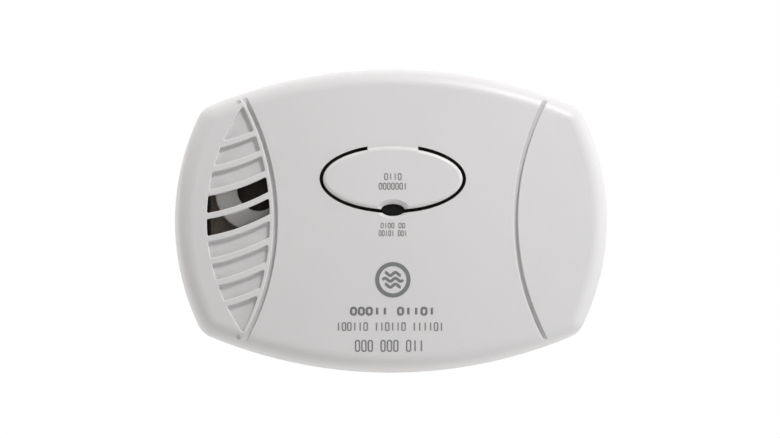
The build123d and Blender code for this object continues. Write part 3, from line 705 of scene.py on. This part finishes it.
def make_mark_row_tree():
    """A row of upright placeholder marks, each a rounded frame or a bar, laid on the crowned face."""
    inputs = {"Count": "Int", "Word": "Int", "Pitch": "Float", "Width": "Float", "Height": "Float"}
    inputs |= {"Stroke": "Float", "Thickness": "Float", "Middle X": "Float", "Middle Z": "Float"}
    inputs |= {"Face Y": "Float", "Crown": "Float", "Lift": "Float", "Seed": "Int"}
    tree, start = geometry_tree("mark_row", inputs)
    half_row = maths(tree, "MULTIPLY", maths(tree, "SUBTRACT", start["Count"], 1.0), -0.5)
    left = maths(tree, "MULTIPLY", half_row, start["Pitch"])
    begin = add(tree, "ShaderNodeCombineXYZ", {"X": left}).outputs[0]
    step = add(tree, "ShaderNodeCombineXYZ", {"X": start["Pitch"]}).outputs[0]
    feeds = {"Count": start["Count"], "Start Location": begin, "Offset": step}
    line = add(tree, "GeometryNodeMeshLine", feeds, mode="OFFSET").outputs[0]
    index = add(tree, "GeometryNodeInputIndex").outputs[0]
    word = maths(tree, "ADD", start["Word"], 1.0)
    blank = maths(tree, "COMPARE", maths(tree, "MODULO", index, word), start["Word"], 0.5)
    kept = add(tree, "GeometryNodeDeleteGeometry", {0: line, "Selection": blank}).outputs[0]
    glyphs = add(tree, "GeometryNodeGeometryToInstance", {0: rounded_frame(tree, start)}).outputs[0]
    tree.links.new(upright_bar(tree, start), glyphs.node.inputs[0])
    feeds = {4: 0, 5: 1, "ID": index, "Seed": start["Seed"]}
    choice = add(tree, "FunctionNodeRandomValue", feeds, data_type="INT").outputs[2]
    feeds = {"Points": kept, "Instance": glyphs, "Pick Instance": True, "Instance Index": choice}
    placed = add(tree, "GeometryNodeInstanceOnPoints", feeds).outputs[0]
    curves = add(tree, "GeometryNodeRealizeInstances", {0: placed}).outputs[0]
    level = add(tree, "GeometryNodeSetCurveNormal", {0: curves}, mode="Z_UP").outputs[0]
    feeds = {"Width": start["Stroke"], "Height": start["Thickness"]}
    nib = add(tree, "GeometryNodeCurvePrimitiveQuadrilateral", feeds, mode="RECTANGLE").outputs[0]
    feeds = {"Curve": level, "Profile Curve": nib, "Fill Caps": True}
    inked = add(tree, "GeometryNodeCurveToMesh", feeds).outputs[0]
    close_tree(tree, start, lay_on_crown(tree, start, inked))
    return tree


def rounded_frame(tree, start):
    feeds = {"Width": start["Width"], "Height": start["Height"]}
    box = add(tree, "GeometryNodeCurvePrimitiveQuadrilateral", feeds, mode="RECTANGLE").outputs[0]
    radius = maths(tree, "MULTIPLY", start["Width"], FRAME_ROUNDING)
    feeds = {"Curve": box, "Radius": radius, "Count": 4}
    return add(tree, "GeometryNodeFilletCurve", feeds, mode="POLY").outputs[0]


def upright_bar(tree, start):
    half = maths(tree, "MULTIPLY", start["Height"], 0.5)
    foot = add(tree, "ShaderNodeCombineXYZ", {"Y": maths(tree, "MULTIPLY", half, -1.0)}).outputs[0]
    head = add(tree, "ShaderNodeCombineXYZ", {"Y": half}).outputs[0]
    return add(tree, "GeometryNodeCurvePrimitiveLine", {"Start": foot, "End": head}).outputs[0]


def lay_on_crown(tree, start, geometry):
    """Stand a flat row up at its place, each point on the sphere that the face is part of."""
    place = add(tree, "GeometryNodeInputPosition").outputs[0]
    axes = add(tree, "ShaderNodeSeparateXYZ", {0: place}).outputs
    x = maths(tree, "ADD", axes["X"], start["Middle X"])
    z = maths(tree, "ADD", axes["Y"], start["Middle Z"])
    beside = maths(tree, "SUBTRACT", x, CASE_X)
    above = maths(tree, "SUBTRACT", z, CASE_Z)
    across = maths(tree, "MULTIPLY", beside, beside)
    upward = maths(tree, "MULTIPLY", above, above)
    flat = maths(tree, "ADD", across, upward)
    radius = maths(tree, "ADD", start["Crown"], maths(tree, "ADD", start["Lift"], axes["Z"]))
    square = maths(tree, "SUBTRACT", maths(tree, "MULTIPLY", radius, radius), flat)
    middle = maths(tree, "ADD", start["Face Y"], start["Crown"])
    y = maths(tree, "SUBTRACT", middle, maths(tree, "SQRT", square))
    laid = add(tree, "ShaderNodeCombineXYZ", {"X": x, "Y": y, "Z": z}).outputs[0]
    return add(tree, "GeometryNodeSetPosition", {"Geometry": geometry, "Position": laid}).outputs[0]


def make_coil_tree():
    """A round wire wound about X, from one radius to another."""
    inputs = {"Turns": "Float", "Start Radius": "Float", "End Radius": "Float", "Length": "Float"}
    inputs |= {"Wire": "Float", "Place": "Vector", "Facing": "Vector"}
    tree, start = geometry_tree("wire_coil", inputs)
    feeds = {"Resolution": 40, "Rotations": start["Turns"], "Height": start["Length"]}
    feeds |= {"Start Radius": start["Start Radius"], "End Radius": start["End Radius"]}
    helix = add(tree, "GeometryNodeCurveSpiral", feeds).outputs[0]
    half = maths(tree, "MULTIPLY", start["Wire"], 0.5)
    section = add(tree, "GeometryNodeCurvePrimitiveCircle", {"Resolution": 12, "Radius": half}).outputs[0]
    feeds = {"Curve": helix, "Profile Curve": section, "Fill Caps": True}
    wire = add(tree, "GeometryNodeCurveToMesh", feeds).outputs[0]
    feeds = {"Geometry": wire, "Translation": start["Place"], "Rotation": start["Facing"]}
    close_tree(tree, start, add(tree, "GeometryNodeTransform", feeds).outputs[0])
    return tree


def make_grip_tree():
    """Equal round-backed ribs one above another, half sunk in the wall that they stand on."""
    inputs = {"Count": "Int", "Pitch": "Float", "Length": "Float", "Radius": "Float", "Place": "Vector"}
    tree, start = geometry_tree("grip_ribs", inputs)
    step = add(tree, "ShaderNodeCombineXYZ", {"Z": start["Pitch"]}).outputs[0]
    feeds = {"Count": start["Count"], "Start Location": start["Place"], "Offset": step}
    line = add(tree, "GeometryNodeMeshLine", feeds, mode="OFFSET").outputs[0]
    half = maths(tree, "MULTIPLY", start["Length"], 0.5)
    left = add(tree, "ShaderNodeCombineXYZ", {"X": maths(tree, "MULTIPLY", half, -1.0)}).outputs[0]
    right = add(tree, "ShaderNodeCombineXYZ", {"X": half}).outputs[0]
    spine = add(tree, "GeometryNodeCurvePrimitiveLine", {"Start": left, "End": right}).outputs[0]
    feeds = {"Resolution": 16, "Radius": start["Radius"]}
    section = add(tree, "GeometryNodeCurvePrimitiveCircle", feeds).outputs[0]
    feeds = {"Curve": spine, "Profile Curve": section, "Fill Caps": True}
    rib = add(tree, "GeometryNodeCurveToMesh", feeds).outputs[0]
    ribs = add(tree, "GeometryNodeInstanceOnPoints", {"Points": line, "Instance": rib}).outputs[0]
    close_tree(tree, start, ribs)
    return tree


MARK_ROW = make_mark_row_tree()
WIRE_COIL = make_coil_tree()
GRIP_RIBS = make_grip_tree()

# ---- printed marks
INK_THICKNESS = 0.03 * MM
INK_BOLD = printed_ink("ink_bold", colour_of(0.175, 0.180, 0.182))
INK_FINE = printed_ink("ink_fine", colour_of(0.200, 0.203, 0.205))
MARK_SHARE = 0.62
PITCH_SPARE = 0.25
EMBLEM_DROP = 16.0 * MM
EMBLEM_RADIUS = 4.15 * MM
RING_STEPS = 72
RING_WIDTH = 1.1 * MM
WAVE_STEPS = 28
WAVE_WIDTH = 0.78 * MM
WAVE_HEIGHT = 0.42 * MM
WAVE_LENGTH = 2.75 * MM
WAVE_PITCH = 1.55 * MM
SHORT_WAVE = 2.1 * MM
LONG_WAVE = 2.75 * MM


def mark_row(name, body, middle_z, length, height, stroke, count, word, lift=0.0, seed=1, ink=INK_FINE):
    """One row: count marks over a length, a blank after each word of so many marks."""
    pitch = length / (count - PITCH_SPARE)
    values = {
        "Count": count, "Word": word, "Pitch": pitch, "Width": MARK_SHARE * pitch,
        "Height": height - stroke, "Stroke": stroke, "Thickness": 2 * INK_THICKNESS,
        "Middle X": CASE_X, "Middle Z": CASE_Z + middle_z, "Face Y": FACE_Y, "Crown": CROWN,
        "Lift": lift, "Seed": seed,
    }
    row = grow(MARK_ROW, name, ink, values)
    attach(row, body)


def print_marks():
    """Rows of plain placeholder marks; none of them spells anything."""
    button = {"body": "test_button", "height": 1.9 * MM, "stroke": 0.26 * MM, "word": 9, "lift": BUTTON_LIFT}
    mark_row("button_mark_upper", middle_z=11.35 * MM, length=4.5 * MM, count=4, **button)
    mark_row("button_mark_lower", middle_z=8.8 * MM, length=7.4 * MM, count=7, seed=4, **button)
    upper = {"middle_z": -1.62 * MM, "length": 6.4 * MM, "height": 1.5 * MM, "stroke": 0.22 * MM}
    mark_row("window_mark_upper", "alarm", count=7, word=4, seed=2, **upper)
    lower = {"middle_z": -3.68 * MM, "length": 7.4 * MM, "height": 1.6 * MM, "stroke": 0.22 * MM}
    mark_row("window_mark_lower", "alarm", count=9, word=5, seed=3, **lower)
    bold = {"middle_z": -24.3 * MM, "length": 22.3 * MM, "height": 2.4 * MM, "stroke": 0.62 * MM}
    mark_row("face_mark_bold", "alarm", count=11, word=5, seed=5, ink=INK_BOLD, **bold)
    fine = {"middle_z": -28.4 * MM, "length": 29.8 * MM, "height": 2.4 * MM, "stroke": 0.32 * MM}
    mark_row("face_mark_fine", "alarm", count=21, word=6, seed=6, **fine)
    low = {"middle_z": -33.5 * MM, "length": 19.9 * MM, "height": 3.2 * MM, "stroke": 0.38 * MM}
    mark_row("face_mark_low", "alarm", count=12, word=3, seed=8, **low)


def air_emblem():
    """A ring round three wavy lines of moving air."""
    shape = bmesh.new()
    middle_z = CASE_Z - EMBLEM_DROP
    turns = [2 * math.pi * step / RING_STEPS for step in range(RING_STEPS)]
    ring = [(CASE_X + EMBLEM_RADIUS * math.cos(t), middle_z + EMBLEM_RADIUS * math.sin(t)) for t in turns]
    add_ribbon(shape, ring, RING_WIDTH, closed=True)
    phase = 2 * math.pi / WAVE_LENGTH
    for offset, half in ((WAVE_PITCH, SHORT_WAVE), (0.0, LONG_WAVE), (-WAVE_PITCH, SHORT_WAVE)):
        points = [half * (2 * step / WAVE_STEPS - 1) for step in range(WAVE_STEPS + 1)]
        wave = [(CASE_X + s, middle_z + offset + WAVE_HEIGHT * math.sin(phase * s)) for s in points]
        add_ribbon(shape, wave, WAVE_WIDTH)
    outward(shape)
    piece = piece_from(shape, "air_emblem", INK_BOLD)
    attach(piece, "alarm")


# ---- hinge web of the test button
WEB_HALF = 6.72 * MM
WEB_THICKNESS = 0.34 * MM
BUTTON_A = (button_high.x - button_low.x) / 2
BUTTON_B = 8.2 * MM
BUTTON_Z = button_low.z + BUTTON_B
WEB_FOOT = 1.25 * MM
WEB_TOP = BUTTON_Z + BUTTON_B + 1.35 * MM
SHOULDER_END = 0.2 * MM
SHOULDER_DROP = 2.6
SHOULDER_ROUNDING = 0.62
WEB_SKIN = 0.02 * MM
WEB_OVERLAP = 0.01 * MM


def web_lift(beyond):
    """How far the web stands off the cover, a distance beyond the button's outline."""
    share = (beyond + WEB_FOOT) / (SHOULDER_END + WEB_FOOT)
    share = min(max(share, 0.0), 1.0)
    height = (1 - share ** SHOULDER_DROP) ** SHOULDER_ROUNDING
    return WEB_SKIN + (BUTTON_LIFT - WEB_SKIN + WEB_OVERLAP) * height


def hinge_web():
    """The thin strip that joins the button to the cover."""
    across, along = 28, 26
    shape = bmesh.new()
    grid = []
    for column in range(across + 1):
        x = WEB_HALF * (2 * column / across - 1)
        outline = BUTTON_Z + BUTTON_B * math.sqrt(1 - (x / BUTTON_A) ** 2)
        line = []
        for row in range(along + 1):
            z = outline - WEB_FOOT + (WEB_TOP - outline + WEB_FOOT) * row / along
            line.append(shape.verts.new((CASE_X + x, face_y(CASE_X + x, z, web_lift(z - outline)), z)))
        grid.append(line)
    for near, far in zip(grid, grid[1:]):
        for row in range(along):
            shape.faces.new((near[row], near[row + 1], far[row + 1], far[row]))
    skin = list(shape.faces)
    under = bmesh.ops.extrude_face_region(shape, geom=skin)["geom"]
    lower = [item for item in under if isinstance(item, bmesh.types.BMVert)]
    bmesh.ops.translate(shape, verts=lower, vec=(0, WEB_THICKNESS, 0))
    outward(shape)
    piece = piece_from(shape, "hinge_web", nodes["front_cover"].data.materials[0])
    smooth(piece)
    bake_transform(piece)


# ---- battery cells, springs and winding
CELL_LENGTH = 50.45 * MM
CAN_WALL = 0.22 * MM
SPRING_TURNS = 4.5
SPRING_WIRE = 0.7 * MM
SPRING_WIDE = 5.5 * MM
SPRING_NARROW = 2.7 * MM
SPRING_LENGTH = 5.4 * MM
WINDING_WIRE = 0.42 * MM
WINDING_CORE = 3.3 * MM
WINDING_FLANGE = 1.0 * MM


def cell_can_profile():
    """Bare steel of one cell from its button to its flat end, as (distance, radius)."""
    radius = CELL_RADIUS - CAN_WALL
    floor = CELL_LENGTH - 0.25 * MM
    button = [(0.0, 0.0), (0.0, 2.45 * MM), (0.12 * MM, 2.72 * MM), (1.0 * MM, 2.74 * MM)]
    shoulder = [(1.15 * MM, 3.4 * MM), (1.1 * MM, 5.6 * MM)]
    shoulder += [(1.2 * MM, radius - 0.3 * MM), (1.5 * MM, radius)]
    heel = [(CELL_LENGTH - 0.4 * MM, radius), (CELL_LENGTH - 0.05 * MM, radius - 0.4 * MM)]
    dish = [(CELL_LENGTH, 5.2 * MM), (floor, 4.9 * MM), (floor, 0.0)]
    return button + shoulder + heel + dish


def cell_jacket_profile():
    """The sleeve over the can, rolled in over both shoulders, back to the point where it starts."""
    rolled = CELL_RADIUS - 1.3 * MM
    inner = rolled - 0.2 * MM
    front = [(2.2 * MM, inner), (1.05 * MM, rolled), (1.02 * MM, CELL_RADIUS - 0.5 * MM)]
    side = [(1.25 * MM, CELL_RADIUS - 0.1 * MM), (1.6 * MM, CELL_RADIUS)]
    side += [(CELL_LENGTH - 0.5 * MM, CELL_RADIUS), (CELL_LENGTH - 0.12 * MM, CELL_RADIUS - 0.15 * MM)]
    back = [(CELL_LENGTH - 0.02 * MM, CELL_RADIUS - 0.7 * MM)]
    tuck = [(CELL_LENGTH - 0.1 * MM, rolled), (CELL_LENGTH - 1.2 * MM, inner)]
    return front + side + back + tuck + front[:1]


def turned_cells(name, profile, material):
    """One profile turned round the axis of each cell, from its button end."""
    shape = bmesh.new()
    ends = ((cells_low.x, 1), (cells_high.x, -1))
    for (button_end, way), z in zip(ends, CELL_ROWS):
        line = [(button_end + way * distance, radius) for distance, radius in profile]
        add_lathe(shape, line, CELL_Y, z)
    bmesh.ops.remove_doubles(shape, verts=shape.verts, dist=0.001 * MM)
    outward(shape)
    finish_piece(piece_from(shape, name, material), "alarm", ("battery_cells",))


def battery_cells():
    """Two cells side by side, facing opposite ways: bare cans, and the jackets over them."""
    steel = plated_metal("cell_steel", colour_of(0.58, 0.58, 0.57), rough=0.28, stretch=(1, 0.15, 0.15))
    turned_cells("cell_cans", cell_can_profile(), steel)
    turned_cells("cell_jackets", cell_jacket_profile(), cell_jacket_film())


def contact_springs():
    """Cone-shaped coils, wide at the contact plate and narrow at the cell."""
    steel = plated_metal("spring_wire", colour_of(0.62, 0.60, 0.56), rough=0.25, stretch=(0.2, 1, 1))
    coils = []
    for (x, side), z in zip(((cells_high.x, -1), (cells_low.x, 1)), CELL_ROWS):
        values = {
            "Turns": SPRING_TURNS, "Start Radius": SPRING_WIDE - SPRING_WIRE / 2, "End Radius": SPRING_NARROW,
            "Length": SPRING_LENGTH - SPRING_WIRE, "Wire": SPRING_WIRE,
            "Place": (x + side * SPRING_WIRE / 2, CELL_Y, z), "Facing": (0.0, side * math.pi / 2, 0.0),
        }
        coils.append(grow(WIRE_COIL, "coil", steel, values))
    finish_piece(gather(coils, "spring_coils"), "alarm", ("contact_springs",))


def inductor_winding():
    """Enamelled wire between the two flanges of the inductor's core."""
    low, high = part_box("boost_inductor")
    copper = plated_metal("enamelled_copper", colour_of(0.50, 0.17, 0.07), rough=0.25)
    room = high.y - low.y - 2 * WINDING_FLANGE - WINDING_WIRE
    radius = WINDING_CORE + WINDING_WIRE / 2
    foot = low.y + WINDING_FLANGE + WINDING_WIRE / 2
    values = {
        "Turns": room / WINDING_WIRE, "Start Radius": radius, "End Radius": radius,
        "Length": room, "Wire": WINDING_WIRE, "Facing": (-math.pi / 2, 0.0, 0.0),
        "Place": ((low.x + high.x) / 2, foot, (low.z + high.z) / 2),
    }
    finish_piece(grow(WIRE_COIL, "inductor_winding", copper, values), "alarm")


# ---- back of the alarm
GRIP_SINK = 0.62 * MM
GRIP_FOOT = 1.3 * MM
ARROW_FOOT = 8.2 * MM
ARROW_HALF = 3.2 * MM
ARROW_HEIGHT = 4.2 * MM
ARROW_PROUD = 0.22 * MM
ARROW_SUNK = 0.3 * MM
LABEL_INSET = 1.0 * MM
LABEL_LINE = 0.2 * MM
LABEL_BAR = 0.8 * MM
LABEL_ROWS = 9
BAR_STEP = 0.28


def door_grip():
    """Ribs in the thumb recess of the battery door, and a raised arrow that shows which way it opens."""
    plastic = nodes["battery_door"].data.materials[0]
    values = {
        "Count": 4, "Pitch": 1.05 * MM, "Length": 9.0 * MM, "Radius": 0.32 * MM,
        "Place": (CASE_X, door_high.y - GRIP_SINK, door_low.z + GRIP_FOOT),
    }
    finish_piece(grow(GRIP_RIBS, "door_grip_ribs", plastic, values), "battery_door")
    shape = bmesh.new()
    tip = door_low.z + ARROW_FOOT
    corners = ((0.0, tip), (ARROW_HALF, tip + ARROW_HEIGHT), (-ARROW_HALF, tip + ARROW_HEIGHT))
    base = [shape.verts.new((CASE_X + x, door_high.y - ARROW_SUNK, z)) for x, z in corners]
    face = shape.faces.new(base)
    raised = bmesh.ops.extrude_face_region(shape, geom=[face])["geom"]
    top = [item for item in raised if isinstance(item, bmesh.types.BMVert)]
    bmesh.ops.translate(shape, verts=top, vec=(0, ARROW_PROUD + ARROW_SUNK, 0))
    outward(shape)
    bmesh.ops.bevel(shape, geom=list(shape.edges), offset=0.12 * MM, segments=2, affect="EDGES")
    finish_piece(piece_from(shape, "door_arrow", plastic), "battery_door")


def label_marks():
    """A thin border and short plain bars on the rear label."""
    ink = printed_ink("label_ink", colour_of(0.10, 0.10, 0.11))
    shape = bmesh.new()
    left, right = label_low.x + LABEL_INSET, label_high.x - LABEL_INSET
    foot, head = label_low.z + LABEL_INSET, label_high.z - LABEL_INSET
    low, high = foot + LABEL_LINE, head - LABEL_LINE
    bars = [(left, right, high, head), (left, right, foot, low)]
    bars += [(left, left + LABEL_LINE, low, high), (right - LABEL_LINE, right, low, high)]
    longest = right - left - 2 * LABEL_INSET
    pitch = (head - foot - 2 * LABEL_INSET) / LABEL_ROWS
    for row in range(LABEL_ROWS):
        z = head - LABEL_INSET - row * pitch
        share = 1.0 - BAR_STEP * ((row * 2) % 3)
        end = right - LABEL_INSET
        bars.append((end - longest * share, end, z - LABEL_BAR, z))
    for x0, x1, z0, z1 in bars:
        corners = Matrix.Diagonal((x1 - x0, 2 * INK_THICKNESS, z1 - z0, 1))
        place = Matrix.Translation(((x0 + x1) / 2, label_high.y, (z0 + z1) / 2))
        bmesh.ops.create_cube(shape, size=1.0, matrix=place @ corners)
    piece = piece_from(shape, "label_marks", ink)
    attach(piece, "alarm")


# ---- solder on the board
SOLDER_FOOT = 2.3
SOLDER_TOP = 1.15
SOLDER_HEIGHT = 0.6 * MM
SOLDER_SUNK = 0.05 * MM


def solder_joints():
    """A small cone of solder round each pin on the face of the board."""
    metal = plated_metal("solder", colour_of(0.55, 0.56, 0.57), rough=0.22)
    board_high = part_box("circuit_board")[1]
    horn_low, horn_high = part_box("horn_pins")
    sensor_low, sensor_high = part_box("sensor_pins")
    pin = (horn_high.z - horn_low.z) / 2
    places = [(horn_low.x + pin, horn_low.z + pin), (horn_high.x - pin, horn_low.z + pin)]
    places += [(sensor_low.x + pin, sensor_low.z + pin), (sensor_high.x - pin, sensor_low.z + pin)]
    places.append(((sensor_low.x + sensor_high.x) / 2, sensor_high.z - pin))
    turn = Matrix.Rotation(-math.pi / 2, 4, "X")
    sizes = {"radius1": SOLDER_FOOT * pin, "radius2": SOLDER_TOP * pin, "depth": SOLDER_HEIGHT}
    shape = bmesh.new()
    for x, z in places:
        place = Matrix.Translation((x, board_high.y + SOLDER_HEIGHT / 2 - SOLDER_SUNK, z))
        bmesh.ops.create_cone(shape, cap_ends=True, segments=24, matrix=place @ turn, **sizes)
    finish_piece(piece_from(shape, "solder_joints", metal), "alarm")


# ---- the whole scene
bpy.context.scene.view_settings.view_transform = "Standard"
make_camera()
make_lights()
make_world()
make_floor()
dress_nodes()
print_marks()
air_emblem()
hinge_web()
battery_cells()
contact_springs()
inductor_winding()
door_grip()
label_marks()
solder_joints()
